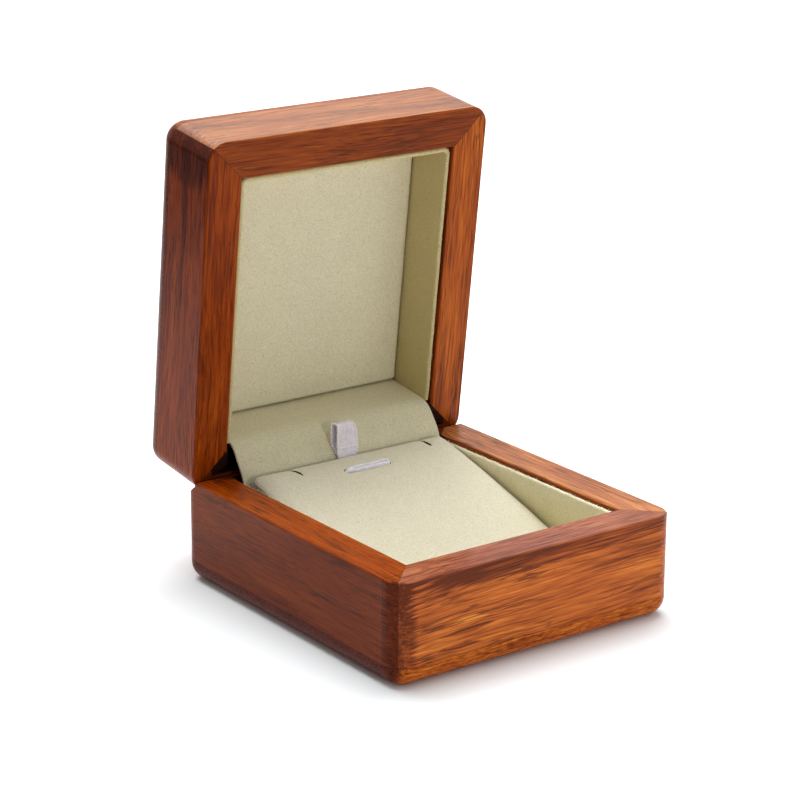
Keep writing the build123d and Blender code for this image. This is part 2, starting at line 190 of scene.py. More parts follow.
def wood(
    name,
    along,
    face,
    rim=None,
    rim_mask=no_rim,
    on_lid=False,
    seed=0.0,
    slope=0.0,
    broad=1.0,
    streaks=1.0,
    veins=0.6,
    curl=0.05,
    pores=0.5,
    flecks=0.0,
    gloss=1.2,
    coat=0.0,
    patches=(),
    joints=(),
    pocket_shade=None,
    mitred=True,
):
    """Lacquered hardwood, laid out in the closed box's millimetres. along is the grain's axis, and
    face and rim are middle colours from 0 to 255, the second where rim_mask is 1. broad, streaks,
    veins, curl, pores and flecks say how strong each kind of figure is, slope how far the grain runs
    off the rail, gloss the lacquer's index of refraction, and coat a second layer off the rim.
    A patch lightens or darkens an oval: its middle and half sizes along and up the grain, and amount.
    A joint is a glued seam: three factors of x, y and z, their sum on the seam, and half its width.
    Painted shade makes the pocket beside the hinges near black, where light hardly reaches; the argument
    for it gives the pocket's least and greatest x, and greatest y."""
    material, shader, tree = new_material(name)
    turn = Matrix.Rotation(open_angle, 3, "X")
    shift = hinge_line - turn @ hinge_line if on_lid else Vector()
    place = tree.node(
        "ShaderNodeMapping",
        inputs={
            "Vector": tree.node("ShaderNodeTexCoord", output=3),
            "Location": tuple(shift),
            "Rotation": (open_angle if on_lid else 0.0, 0.0, 0.0),
            "Scale": (1000.0, 1000.0, 1000.0),
        },
    )
    x, y, z = place.axes()
    far, into = (x, y) if along == "X" else (y, x)
    drift = tree.join(far * 0.02 + seed, z * 0.05, into * 0.05).cloud(1.0) - 0.5
    wave = tree.join(far / 3.0 + seed, z / 4.0, into / 4.0).cloud(2.0) - 0.5
    up = z - far * slope + drift * 5.0 + wave * (curl * 3.0)
    deep = into + drift * 4.0

    def grain(length, width, detail=2.0, roughness=0.5):
        """Noise from -0.5 to 0.5 whose spots are this long along the grain and this wide across."""
        where = tree.join(far / length + seed, up / width, deep / width)
        return where.cloud(detail, roughness) - 0.5

    wide = grain(48.0, 6.0, 2.0)
    streak = grain(38.0, 1.5, 2.0, 0.55)
    thread = grain(24.0, 0.6, 2.0, 0.6)
    fibre = grain(9.0, 0.38, 1.0)
    tone = 0.5 + wide * (0.8 * broad) + (streak * 0.5 + thread * 0.9 + fibre * 0.8) * streaks
    if flecks:
        tone = tone + grain(2.2, 0.5, 1.0) * flecks
    rim_tone = tone
    for middle_a, middle_b, half_a, half_b, amount in patches:
        across = (far - middle_a) / half_a
        height = (up - middle_b) / half_b
        tone = tone + (across * across + height * height + thread * 2.0).step(1.5, 0.5) * amount
    body = tree.node("ShaderNodeValToRGB", {"stops": timber(*face)}, {"Fac": tone})
    if rim:
        edge = tree.node("ShaderNodeValToRGB", {"stops": timber(*rim)}, {"Fac": rim_tone})
        body = rim_mask(x, y, z).blend_to(body, edge)
    line = grain(30.0, 1.4, 2.0, 0.6)
    vein = (line * line).step(0.0016, 0.0) * grain(50.0, 8.0).step(-0.1, 0.1) * veins
    body = vein.blend_to(body, darker(colour(*face), 0.22))
    pore = grain(2.8, 0.24, 1.0).step(0.17, 0.23) * grain(24.0, 3.0).step(-0.12, 0.12) * pores
    # The mitres run inwards from the corners of a box 86 by 94 mm
    mitre = abs(x) - abs(y) + 4.0
    mark = (mitre * mitre).step(0.03, 0.004) * (0.55 if mitred else 0.0)
    for by_x, by_y, by_z, offset, half in joints:
        away = x * by_x + y * by_y + z * by_z - offset
        mark = mark + (away * away).step(half * half * 2.0, half * half * 0.4) * (0.75 + thread)
    body = (pore + mark).step(0.0, 1.0).blend_to(body, darker(colour(*face), 0.1))
    # Painted shade: the pocket beside the hinges is made near black, as if no light reached into it.
    if pocket_shade:
        least_x, greatest_x, greatest_y = pocket_shade
        beside = (abs(x) - least_x).step(-0.1, 0.1) * (greatest_x - abs(x)).step(-0.1, 0.1)
        body = (beside * (greatest_y - y).step(-0.1, 0.1)).blend_to(body, colour(34, 15, 9))
    feed(shader, body, "Base Color")
    feed(shader, 0.3 + fibre * 0.25 + pore * 0.3, "Roughness")
    relief = fibre * 0.35 - pore - mark * 0.5
    bump = tree.node("ShaderNodeBump", inputs={"Height": relief, "Strength": 0.5, "Distance": 0.00003})
    feed(shader, bump, "Normal")
    shader.inputs["IOR"].default_value = gloss
    if coat:
        feed(shader, (1.0 - rim_mask(x, y, z)) * coat, "Coat Weight")
        shader.inputs["Coat Roughness"].default_value = 0.3
    return material


def finish_node(name, material):
    """Gives a CAD piece its material."""
    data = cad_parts[name].data
    data.materials.clear()
    data.materials.append(material)


base_glue_line = (0.0, 0.0, 1.0, 5.5, 0.11)
corner_seam = (0.0, 1.0, 0.0, -41.4, 0.11)
finish_node(
    "base_front_rail",
    wood(
        "front_rail_wood",
        "X",
        (180, 90, 33),
        # Partly painted reflection: the rim's pinkish, less saturated tone carries the white surround
        # mirrored in the lacquer, over the wood's own orange.
        (155, 87, 60),
        base_rim,
        seed=3.1,
        slope=0.03,
        veins=0.75,
        patches=(
            (5, 26, 55, 4.0, -0.42),
            (-15, 15, 24, 5, 0.12),
            (-21, 14, 5, 0.8, 0.36),
            (-22, 11.6, 7, 0.7, -0.5),
            (-24, 8, 6, 0.6, -0.42),
            (-42.5, 16, 5.0, 40, -0.36),
        ),
        joints=(base_glue_line,),
    ),
)
finish_node(
    "base_left_rail",
    wood(
        "left_rail_wood",
        "Y",
        (116, 47, 14),
        (151, 62, 4),
        base_rim,
        seed=8.4,
        broad=0.6,
        streaks=0.6,
        pores=1.0,
        gloss=1.16,
        patches=((-46, 14, 4.5, 40, -0.25), (30, 24, 30, 7, 0.1)),
        joints=(base_glue_line, corner_seam),
    ),
)
finish_node(
    "base_right_rail",
    wood(
        "right_rail_wood",
        "Y",
        (138, 60, 20),
        # Partly painted reflection: the rim's pinkish, less saturated tone carries the white surround
        # mirrored in the lacquer, over the wood's own orange.
        (178, 107, 61),
        base_rim,
        seed=5.7,
        joints=(base_glue_line,),
    ),
)
finish_node(
    "base_back_rail",
    wood(
        "back_rail_wood",
        "X",
        (140, 60, 20),
        # Painted shade: the rim is coloured darker than the face, where it lies in shade at the hinge
        # side.
        (120, 48, 10),
        base_rim,
        seed=6.2,
        joints=(base_glue_line,),
        # Painted shade in the pocket beside the hinges
        pocket_shade=(26.2, 32.8, 40.0),
    ),
)


# Bottom board of the base: one slab of the same wood, glued under the frame and rounded over.
# Its ends show as fine dotted end grain on the left and right, and its front edge is curly.

def board_ends(x, y, z):
    """1 on the left and right ends of a board 86 mm long, and 0 on its faces."""
    return abs(x).step(39.5, 42.0)


finish_node(
    "base_bottom_panel",
    wood(
        "bottom_board_wood",
        "X",
        (176, 86, 26),
        (88, 29, 13),
        board_ends,
        seed=12.3,
        broad=0.6,
        curl=0.25,
        pores=1.0,
        flecks=1.15,
        gloss=1.16,
        mitred=False,
    ),
)


# Frame rails of the lid, mitred like those of the base, and a little redder.

def lid_rim(x, y, z):
    """1 on the lid's rim, which lies at 27.3 mm in the closed box, and 0 above it."""
    return z.step(27.7, 27.5)


lid_glue_line = (0.0, 0.0, 1.0, 45.3, 0.11)
finish_node(
    "lid_front_rail",
    wood(
        "lid_front_wood",
        "X",
        (152, 84, 34),
        (136, 57, 8),
        lid_rim,
        True,
        21.5,
        coat=0.4,
        joints=(lid_glue_line,),
    ),
)
finish_node(
    "lid_left_rail",
    wood(
        "lid_left_wood",
        "Y",
        (136, 53, 16),
        (143, 58, 7),
        lid_rim,
        True,
        24.9,
        broad=0.7,
        pores=1.0,
        gloss=1.17,
        patches=((-30, 37.5, 34, 1.0, -0.4), (-12, 40.5, 40, 1.0, 0.2), (-43, 38, 9, 14, -0.45)),
        joints=(lid_glue_line,),
    ),
)
finish_node(
    "lid_right_rail",
    wood(
        "lid_right_wood",
        "Y",
        (140, 60, 20),
        (175, 84, 18),
        lid_rim,
        True,
        27.2,
        joints=(lid_glue_line,),
    ),
)
finish_node(
    "lid_back_rail",
    wood(
        "lid_back_wood",
        "X",
        (140, 60, 20),
        # Painted shade: the rim is coloured darker than the face, where it lies in shade at the hinge
        # side.
        (92, 34, 8),
        lid_rim,
        True,
        29.8,
        joints=(lid_glue_line,),
        # Painted shade in the pocket beside the hinges
        pocket_shade=(26.2, 37.4, 43.2),
    ),
)


# Top board of the lid: a slab like the bottom board, with its outer edge rounded over.

finish_node(
    "lid_top_panel",
    wood(
        "top_board_wood",
        "X",
        (150, 76, 36),
        (104, 36, 10),
        board_ends,
        True,
        33.3,
        curl=0.3,
        mitred=False,
    ),
)


# Two brass butt hinges: stamped leaves with rolled knuckles on plain pins, let into the back rails
# and held by countersunk brass screws. They are lightly tarnished, and hidden by the cloth flap.

hinge_brass, shader, tree = new_material("hinge_brass")
x, y, z = tree.node("ShaderNodeTexCoord", output=3).axes()
brushed = tree.join(x * 300.0, y * 9000.0, z * 9000.0).cloud(3.0) - 0.5
dull = tree.join(x * 400.0, y * 400.0, z * 400.0).cloud(3.0).step(0.42, 0.66)
feed(shader, dull.blend_to(colour(214, 170, 92), colour(172, 124, 62)), "Base Color")
feed(shader, 0.26 + brushed * 0.3 + dull * 0.18, "Roughness")
bump = tree.node("ShaderNodeBump", inputs={"Height": brushed, "Strength": 0.3, "Distance": 0.00002})
feed(shader, bump, "Normal")
shader.inputs["Metallic"].default_value = 1.0
for side in ("left", "right"):
    for part in ("base_leaf", "lid_leaf", "pin"):
        finish_node(f"{side}_hinge_{part}", hinge_brass)
finish_node("base_hinge_screws", hinge_brass)
finish_node("lid_hinge_screws", hinge_brass)


# Grey board behind and under the cloth: the back cards, the base's floor, the boards of the ceiling
# and the pad, and the pad's stand. It is pressed paper, a little mottled, cut to size and glued in.

card_board, shader, tree = new_material("card_board")
x, y, z = tree.node("ShaderNodeTexCoord", output=3).axes()
pulp = tree.join(x * 900.0, y * 900.0, z * 900.0).cloud(4.0, 0.65)
fleck = tree.join(x * 3200.0, y * 1400.0, z * 3200.0).cloud(1.0).step(0.66, 0.74)
body = pulp.step(0.3, 0.7).blend_to(colour(150, 143, 128), colour(178, 170, 152))
feed(shader, fleck.blend_to(body, colour(112, 104, 92)), "Base Color")
feed(shader, 0.82 + pulp * 0.12, "Roughness")
bump = tree.node("ShaderNodeBump", inputs={"Height": pulp, "Strength": 0.4, "Distance": 0.0001})
feed(shader, bump, "Normal")
for name in (
    "base_back_card",
    "lid_back_card",
    "base_floor_liner",
    "lid_ceiling_board",
    "pad_board",
    "pad_stand",
):
    finish_node(name, card_board)


# Wall liners: a strip of card wrapped in ivory microsuede, bent round the left, front and right
# walls of each half and glued in just inside the wood, with a soft folded lip and stray fibres.

def microsuede(name, tint, painted_lip_light=0.0):
    """Ivory brushed cloth: a short nap in fine pale and dark grains, with faint stroked patches. Its
    third argument says how strongly a painted highlight makes the cloth paler towards the lip of the
    base, where the nap catches the light."""
    material, shader, tree = new_material(name)
    x, y, z = tree.node("ShaderNodeTexCoord", output=3).axes()

    def nap(size, detail=2.0):
        """Noise from -0.5 to 0.5 with grains of one size in millimetres."""
        scale = 1000.0 / size
        return tree.join(x * scale, y * scale, z * scale).cloud(detail, 0.6) - 0.5

    fine, grains, stroked = nap(0.34, 1.0), nap(0.7), nap(6.0)
    tone = 0.5 + fine * 0.9 + grains * 0.35 + stroked * 0.12
    pale = tuple(min(1.0, v * 1.12) for v in tint[:3]) + (1.0,)
    deep = tuple(v * 0.8 for v in tint[:2]) + (tint[2] * 0.72, 1.0)
    pit = nap(0.5, 1.0).step(0.17, 0.23) * 0.4
    body = tone.step(0.05, 0.95).blend_to(deep, pale)
    # Painted highlight: the cloth turns paler towards the lip, where the nap catches the light.
    if painted_lip_light:
        lip_highlight = (z + stroked * 0.01).step(0.015, 0.027) * (0.7 + fine * 1.6) * painted_lip_light
        body = lip_highlight.blend_to(body, colour(250, 246, 226))
    feed(shader, pit.blend_to(body, darker(deep, 0.5)), "Base Color")
    feed(shader, 0.88 + grains * 0.1, "Roughness")
    relief = fine * 0.8 + grains * 0.7 - pit
    bump = tree.node("ShaderNodeBump", inputs={"Height": relief, "Strength": 0.6, "Distance": 0.00014})
    feed(shader, bump, "Normal")
    shader.inputs["Sheen Weight"].default_value = 0.25
    shader.inputs["Sheen Roughness"].default_value = 0.4
    shader.inputs["Sheen Tint"].default_value = tint
    shader.inputs["Specular IOR Level"].default_value = 0.15
    return material


# Both wall cloths are tinted darker and yellower than the ceiling and pad cloth: painted shade on the
# upright walls and painted yellow light bounced from the pad, with more painted shade in the lid.
# The base's wall cloth has a painted highlight towards its lip.
suede = microsuede("wall_microsuede", colour(226, 216, 168), 0.8)
lid_suede = microsuede("lid_wall_microsuede", colour(211, 196, 149))


def to_open_lid():
    """The turn that takes a point of the closed lid, in millimetres, to its place on the open one."""
    there = Matrix.Translation(hinge_line)
    return there @ Matrix.Rotation(-open_angle, 4, "X") @ there.inverted()


def piece(name, points, faces, material, body=None, place=None, hide=()):
    """A mesh from points in millimetres, moved by place and shaded smooth, that rides on a body, stands
    for the CAD nodes in hide, and has the given material."""
    data = bpy.data.meshes.new(name)
    data.from_pydata([tuple(p) for p in points], [], faces)
    if place is not None:
        data.transform(place)
    data.transform(Matrix.Scale(0.001, 4))
    data.update()
    data.shade_smooth()
    data.set_sharp_from_angle(angle=radians(55))
    data.materials.append(material)
    made = bpy.data.objects.new(name, data)
    bpy.context.scene.collection.objects.link(made)
    if body:
        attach(made, body)
    if hide:
        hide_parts(*hide)
    return made


def tube_faces(rows, across):
    """Faces of a skin over rings of points, with its two ends closed."""
    faces = []
    for row in range(rows - 1):
        for i in range(across):
            j = (i + 1) % across
            here, ahead = row * across, (row + 1) * across
            faces.append((here + i, here + j, ahead + j, ahead + i))
    faces.append(tuple(range(across - 1, -1, -1)))
    faces.append(tuple((rows - 1) * across + i for i in range(across)))
    return faces


def soft_noise(x, y, z, size, seed):
    return noise.noise(Vector((x / size + seed, y / size, z / size)))


def wall_liner(name, foot, lip, lip_side, cloth, place, hide, body, seed):
    """A strip from foot to lip round three walls, in the closed box's own millimetres. lip_side is 1
    where the lip is above the foot and -1 where it is below."""
    half, front, back, bend, thick = 31.3, -35.3, 35.5, 0.8, 1.2
    step = 0.9
    # Seen from above: points along the strip's inner face, each with the way to its outer face
    plan = [((-half, back - step * i), (-1, 0)) for i in range(79)]
    turn = (-half + bend, front + bend)
    for i in range(7):
        way = pi + i * pi / 12
        plan.append(((turn[0] + bend * cos(way), turn[1] + bend * sin(way)), (cos(way), sin(way))))
    plan += [((-half + bend + step * i, front), (0, -1)) for i in range(1, 34)]
    plan.append(((0.0, front), (0, -1)))
    plan += [((-x, y), (-nx, ny)) for (x, y), (nx, ny) in reversed(plan[:-1])]
    # Cut across: up the outer face, over the folded lip and down the inner face
    fold = 0.42
    tall = abs(lip - foot)
    outline = [(thick, i * (tall - fold) / 8) for i in range(8)]
    for i in range(9):
        way = i * pi / 8
        outline.append((thick / 2 + thick / 2 * cos(way), tall - fold + fold * 1.3 * sin(way)))
    outline += [(0.0, (tall - fold) * (1 - i / 22)) for i in range(1, 23)]
    points = []
    for (x, y), (nx, ny) in plan:
        for out, height in outline:
            z = foot + lip_side * height
            ripple = soft_noise(x, y, z, 5.0, seed) * 0.10 + soft_noise(x, y, z, 1.4, seed) * 0.035
            near_lip = exp(-((tall - height) / 1.2) ** 2)
            out += ripple * (0.6 + 0.7 * near_lip) * (1.0 if out < thick / 2 else 0.3)
            z += lip_side * near_lip * soft_noise(x, y, 0.0, 2.2, seed + 4) * 0.16
            points.append((x + nx * out, y + ny * out, z))
    faces = tube_faces(len(plan), len(outline))
    if lip_side > 0:
        faces = [tuple(reversed(f)) for f in faces]
    return piece(name, points, faces, cloth, body, place, hide)


def evaluated(made):
    """A new mesh of an object as its modifiers leave it."""
    graph = bpy.context.evaluated_depsgraph_get()
    return bpy.data.meshes.new_from_object(made.evaluated_get(graph))


class Tree:
    """A Geometry Nodes tree on one object, with named number inputs, run once to a plain mesh."""

    def __init__(self, name, sizes):
        self.tree = bpy.data.node_groups.new(name, "GeometryNodeTree")
        face = self.tree.interface
        face.new_socket("Geometry", in_out="INPUT", socket_type="NodeSocketGeometry")
        self.keys = {}
        for label, value in sizes.items():
            kind = "NodeSocketInt" if isinstance(value, int) else "NodeSocketFloat"
            made = face.new_socket(label, in_out="INPUT", socket_type=kind)
            self.keys[made.identifier] = value
        face.new_socket("Geometry", in_out="OUTPUT", socket_type="NodeSocketGeometry")
        self.source = self.tree.nodes.new("NodeGroupInput")

    def size(self, label):
        """The socket of one of the tree's inputs."""
        return self.source.outputs[label]

    def add(self, kind, settings=None, inputs=None, output=0):
        """Adds any node, with its settings and its inputs' values or links, and gives its output."""
        made = self.tree.nodes.new(kind)
        for name, value in (settings or {}).items():
            setattr(made, name, value)
        for name, value in (inputs or {}).items():
            if isinstance(value, bpy.types.NodeSocket):
                self.tree.links.new(value, made.inputs[name])
            else:
                made.inputs[name].default_value = value
        return made.outputs[output]

    def run(self, name, path, material, last):
        """Ends the tree with last, a socket of instances, and runs it on a path in millimetres."""
        solid = self.add("GeometryNodeRealizeInstances", inputs={0: last})
        painted = self.add("GeometryNodeSetMaterial", inputs={"Geometry": solid, "Material": material})
        out = self.tree.nodes.new("NodeGroupOutput")
        self.tree.links.new(painted, out.inputs[0])
        data = bpy.data.meshes.new(name)
        data.from_pydata([Vector(p) / 1000 for p in path], [(i, i + 1) for i in range(len(path) - 1)], [])
        made = bpy.data.objects.new(name, data)
        bpy.context.scene.collection.objects.link(made)
        modifier = made.modifiers.new("Nodes", "NODES")
        modifier.node_group = self.tree
        for key, value in self.keys.items():
            modifier[key] = value
        made.data = evaluated(made)
        made.modifiers.clear()
        return made


fibre_cloth = microsuede("stray_fibres", colour(240, 234, 205))


def lip_fuzz(name, height, tilt, place, body, seed):
    """Short stray fibres that stand up along the folded lip of a wall liner, at a height of the closed
    box. They lean up to 1.1 radians from upright, turned by tilt about X."""
    nodes = Tree(name, {"Spacing": 0.00016, "Fibre length": 0.0006, "Fibre width": 0.00005, "Seed": seed})
    line = nodes.add("GeometryNodeMeshToCurve", inputs={0: nodes.size("Geometry")})
    line = nodes.add(
        "GeometryNodeResampleCurve", {"mode": "LENGTH"}, {"Curve": line, "Length": nodes.size("Spacing")}
    )
    fibre = nodes.add(
        "GeometryNodeMeshCone",
        inputs={
            "Vertices": 4,
            "Radius Top": 0.0,
            "Radius Bottom": nodes.size("Fibre width"),
            "Depth": nodes.size("Fibre length"),
        },
    )
    lean = nodes.add(
        "FunctionNodeRandomValue",
        {"data_type": "FLOAT_VECTOR"},
        {"Min": (tilt - 1.1, -1.1, -pi), "Max": (tilt + 1.1, 1.1, pi), "Seed": nodes.size("Seed")},
    )
    shift = nodes.add(
        "FunctionNodeRandomValue",
        {"data_type": "FLOAT_VECTOR"},
        {"Min": (-0.00025,) * 3, "Max": (0.00025,) * 3, "Seed": nodes.size("Seed")},
    )
    placed = nodes.add("GeometryNodeSetPosition", inputs={"Geometry": line, "Offset": shift})
    spread = nodes.add(
        "GeometryNodeInstanceOnPoints", inputs={"Points": placed, "Instance": fibre, "Rotation": lean}
    )
    half, front, back = 31.8, -35.8, 35.3
    path = [(-half, back, height), (-half, front, height), (half, front, height), (half, back, height)]
    if place is not None:
        path = [tuple(place @ Vector(p)) for p in path]
    fuzz = nodes.run(name, path, fibre_cloth, spread)
    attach(fuzz, body)


base_foot, base_lip, lid_foot, lid_lip = 5.5, 26.1, 45.3, 28.4
wall_liner("base_wall_cloth", base_foot, base_lip, 1, suede, None, ("base_wall_liner",), "base", 1.7)
wall_liner(
    "lid_wall_cloth", lid_foot, lid_lip, -1, lid_suede, to_open_lid(), ("lid_wall_liner",), "lid", 6.1
)
lip_fuzz("base_lip_fuzz", base_lip, 0.0, None, "base", 11)
lip_fuzz("lid_lip_fuzz", lid_lip, radians(97), to_open_lid(), "lid", 12)


# Padded ceiling of the lid: thin foam on a board, with microsuede drawn over it and round its sides.
# The cloth is blown up a little over the foam, so the face is soft and its edges are full.

def block(half_x, half_y, corner, thick, ease):
    """A flat slab in millimetres with rounded corners and a rounded upper edge, as a bmesh."""
    shape = bmesh.new()
    ring = []
    for sx, sy, start in ((1, 1, 0.0), (-1, 1, pi / 2), (-1, -1, pi), (1, -1, 1.5 * pi)):
        for i in range(9):
            way = start + i * pi / 16
            x = sx * (half_x - corner) + corner * cos(way)
            y = sy * (half_y - corner) + corner * sin(way)
            ring.append(shape.verts.new((x, y, 0.0)))
    foot = shape.faces.new(ring)
    raised = bmesh.ops.extrude_face_region(shape, geom=[foot])
    top = [v for v in raised["geom"] if isinstance(v, bmesh.types.BMVert)]
    bmesh.ops.translate(shape, verts=top, vec=(0, 0, thick))
    rim = [e for e in shape.edges if all(v.co.z > thick - 0.01 for v in e.verts)]
    bmesh.ops.bevel(shape, geom=rim, offset=ease, segments=4, affect="EDGES", profile=0.5)
    bmesh.ops.recalc_face_normals(shape, faces=shape.faces)
    return shape


def blown_slab(name, half_x, half_y, corner, thick, ease, swell):
    """Points and faces of a stuffed slab, in millimetres: remeshed, blown up as cloth with its back
    held and no point moved further than swell, and smoothed. The cloth works at 10 times full size."""
    cloth_scale = 0.01
    voxel = 0.8
    shape = block(half_x, half_y, corner, thick, ease)
    bmesh.ops.scale(shape, vec=(cloth_scale,) * 3, verts=shape.verts)
    data = bpy.data.meshes.new(name)
    shape.to_mesh(data)
    shape.free()
    work = bpy.data.objects.new(name, data)
    bpy.context.scene.collection.objects.link(work)
    remesh = work.modifiers.new("Remesh", "REMESH")
    remesh.mode, remesh.voxel_size = "VOXEL", voxel * cloth_scale
    work.data = evaluated(work)
    work.modifiers.clear()
    rest = [v.co.copy() for v in work.data.vertices]
    swollen = rest
    held = work.vertex_groups.new(name="held")
    held.add([i for i, p in enumerate(rest) if p.z < 0.3 * voxel * cloth_scale], 1.0, "REPLACE")
    cloth = work.modifiers.new("Cloth", "CLOTH")
    cloth.settings.vertex_group_mass = "held"
    cloth.settings.use_pressure = True
    cloth.settings.uniform_pressure_force = 4.0
    cloth.settings.effector_weights.gravity = 0.0
    cloth.settings.quality = 5
    scene = bpy.context.scene
    for step in range(1, 21):
        scene.frame_set(step)
    swollen = [v.co.copy() for v in evaluated(work).vertices]
    work.modifiers.clear()
    scene.frame_set(1)
    cap = swell * cloth_scale
    for vertex, start, end in zip(work.data.vertices, rest, swollen):
        move = end - start
        if move.length > cap:
            move = move * (cap / move.length)
        vertex.co = start + move
    smooth = work.modifiers.new("Smooth", "SUBSURF")
    smooth.levels = smooth.render_levels = 1
    done = evaluated(work)
    points = [v.co / cloth_scale for v in done.vertices]
    faces = [tuple(p.vertices) for p in done.polygons]
    bpy.data.objects.remove(work)
    return points, faces


ceiling_back, ceiling_middle = 45.3, -0.2
blown, faces = blown_slab(
    "ceiling_form", half_x=31.35, half_y=35.0, corner=0.8, thick=3.5, ease=0.8, swell=0.35
)
points = []
for p in blown:
    dents = 0.06 * soft_noise(p.x, p.y, 0.0, 9.0, 2.2) * (p.z > 1.5)
    points.append((p.x, ceiling_middle - p.y, ceiling_back - p.z + dents))
ceiling = piece(
    "ceiling_cloth",
    points,
    faces,
    microsuede("ceiling_microsuede", colour(227, 220, 195)),
    "lid",
    to_open_lid(),
    ("lid_ceiling_cover", "lid_ceiling_foam"),
)


# Flap over the hinges: a strip of the same microsuede, glued to both back cards. It turns in two
# soft bends while the lid is open.

def opened(y, z):
    """Where a point of the closed lid's side view lies when the lid is open."""
    point = to_open_lid() @ Vector((0.0, y, z))
    return point.y, point.z


def rounded_path(corners, radius, step):
    """Points along straight runs joined by arcs, spaced about a step apart."""
    path = []
    last = Vector(corners[0])
    for i, corner in enumerate(corners[1:-1], 1):
        here, ahead, behind = Vector(corner), Vector(corners[i + 1]), Vector(corners[i - 1])
        into, out = (here - behind).normalized(), (ahead - here).normalized()
        bend = into.angle(out)
        cut = radius * sin(bend / 2) / cos(bend / 2)
        start, end = here - into * cut, here + out * cut
        count = max(1, round((start - last).length / step))
        path += [last.lerp(start, k / count) for k in range(count)]
        count = max(3, round(radius * bend / step))
        side = 1 if into.x * out.y - into.y * out.x > 0 else -1
        middle = start + Vector((-into.y, into.x)) * radius * side
        arm = start - middle
        for k in range(count):
            way = side * bend * k / count
            turned = (arm.x * cos(way) - arm.y * sin(way), arm.x * sin(way) + arm.y * cos(way))
            path.append(middle + Vector(turned))
        last = end
    count = max(1, round((Vector(corners[-1]) - last).length / step))
    path += [last.lerp(Vector(corners[-1]), k / count) for k in range(count + 1)]
    return path


def path_normals(path):
    """The left-hand normal at each point of a path."""
    normals = []
    for i in range(len(path)):
        way = (path[min(i + 1, len(path) - 1)] - path[max(i - 1, 0)]).normalized()
        normals.append(Vector((-way.y, way.x)))
    return normals


flap_face, flap_foot, flap_top = 34.9, 6.8, 45.1
base_bend, lid_bend = 28.2, 27.3
flap_thick, flap_half = 0.8, 31.1
columns = 62
flap_corners = [
    (flap_face, flap_foot),
    (flap_face, base_bend),
    opened(flap_face, lid_bend),
    opened(flap_face, flap_top),
]
flap_path = rounded_path(flap_corners, radius=8.0, step=0.7)
points = []
for (y, z), normal in zip(flap_path, path_normals(flap_path)):
    ring = [(-flap_half + 2 * flap_half * k / columns, 0.0) for k in range(columns + 1)]
    ring += [(flap_half, flap_thick * 0.5)]
    ring += [(flap_half - 2 * flap_half * k / columns, flap_thick) for k in range(columns + 1)]
    ring += [(-flap_half, flap_thick * 0.5)]
    for x, back in ring:
        soft = 0.10 * soft_noise(x, y, z, 6.0, 9.3) + 0.03 * soft_noise(x, y, z, 1.5, 3.3)
        # The left end is drawn back a little where the flap bends
        pulled = 1.5 * exp(-(x + flap_half) / 4.0) * exp(-((z - 29.5) / 6.0) ** 2)
        ease = 0.12 if abs(x) > flap_half - 0.5 and back in (0.0, flap_thick) else 0.0
        back += soft * 0.7 + (ease if back == 0.0 else -ease if back == flap_thick else 0.0)
        back += pulled
        points.append((x, y - normal.x * back, z - normal.y * back))
faces = tube_faces(len(flap_path), 2 * columns + 4)
flap_suede = microsuede("flap_microsuede", colour(228, 221, 192))
flap = piece("hinge_flap_cloth", points, faces, flap_suede, None, None, ("hinge_flap",))
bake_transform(flap)


# Lift-out pad: foam on a stiff board in one wrapping of microsuede, crowned from front to back.
# Two slits take a chain, a slot holds the satin loop, and a notch lets the pull tab through.

# The pad's underside is an arc in side view, through its front and back ends
pad_middle, under_radius = -0.2, 569.0
pad_front, pad_back, front_z, back_z = -35.0, 34.6, 6.8, 26.8
pad_chord = hypot(pad_back - pad_front, back_z - front_z)
to_centre = sqrt(under_radius**2 - pad_chord**2 / 4)
curve_y = pad_middle + to_centre * (back_z - front_z) / pad_chord
curve_z = (front_z + back_z) / 2 - to_centre * (pad_back - pad_front) / pad_chord

slot_middle, slot_half_length, slot_half_width = Vector((0.4, 25.6)), 7.5, 1.3
slit_width, slit_bow = 0.9, 0.4


def under_pad(y):
    """The height of the pad's underside at one distance from front to back."""
    return curve_z + sqrt(under_radius**2 - (y - curve_y) ** 2)


def slit_path(back_x, back_y, front_x, front_y, count=12):
    """Points of a shallow bow from the pad's back edge forwards."""
    start, end = Vector((back_x, back_y)), Vector((front_x, front_y))
    path = []
    for i in range(count + 1):
        t = i / count
        bow = slit_bow * 4 * t * (1 - t)
        path.append(start.lerp(end, t) + Vector((bow, 0.0)))
    return path


slits = [slit_path(-20.4, 34.6, -18.3, 27.9), slit_path(22.1, 34.4, 23.0, 27.9)]


def slot_distance(x, y):
    """How far a point lies outside the slot's outline, and below zero inside it."""
    along = max(0.0, abs(x - slot_middle.x) - (slot_half_length - slot_half_width))
    return hypot(along, y - slot_middle.y) - slot_half_width


def slit_distance(x, y):
    """How far a point lies from the nearest slit's middle line."""
    return min((Vector((x, y)) - p).length for path in slits for p in path)


blown, faces = blown_slab(
    "pad_form", half_x=30.8, half_y=34.6, corner=2.7, thick=2.62, ease=0.8, swell=0.4
)
points = []
for p in blown:
    x, y, lift = p.x, p.y + pad_middle, p.z
    # The foam thins towards the sides and the back, and dips at the slot and the slits
    from_edge = min(31.0 - abs(x), pad_back - y)
    lift *= 1.0 - 0.6 * max(0.0, 1.0 - from_edge / 4.2) ** 2
    if p.z > 1.2:
        lift += 0.10 * soft_noise(x, y, 0.0, 8.0, 5.5) + 0.03 * soft_noise(x, y, 0.0, 2.0, 1.5)
        lift -= 0.35 * exp(-max(0.0, slot_distance(x, y)) / 0.5)
        lift -= 0.25 * exp(-max(0.0, slit_distance(x, y) - 0.2) / 0.6)
    points.append((x, y, under_pad(y) + max(0.02, lift)))
pad = piece("pad_cloth", points, faces, microsuede("pad_microsuede", colour(222, 216, 196)))
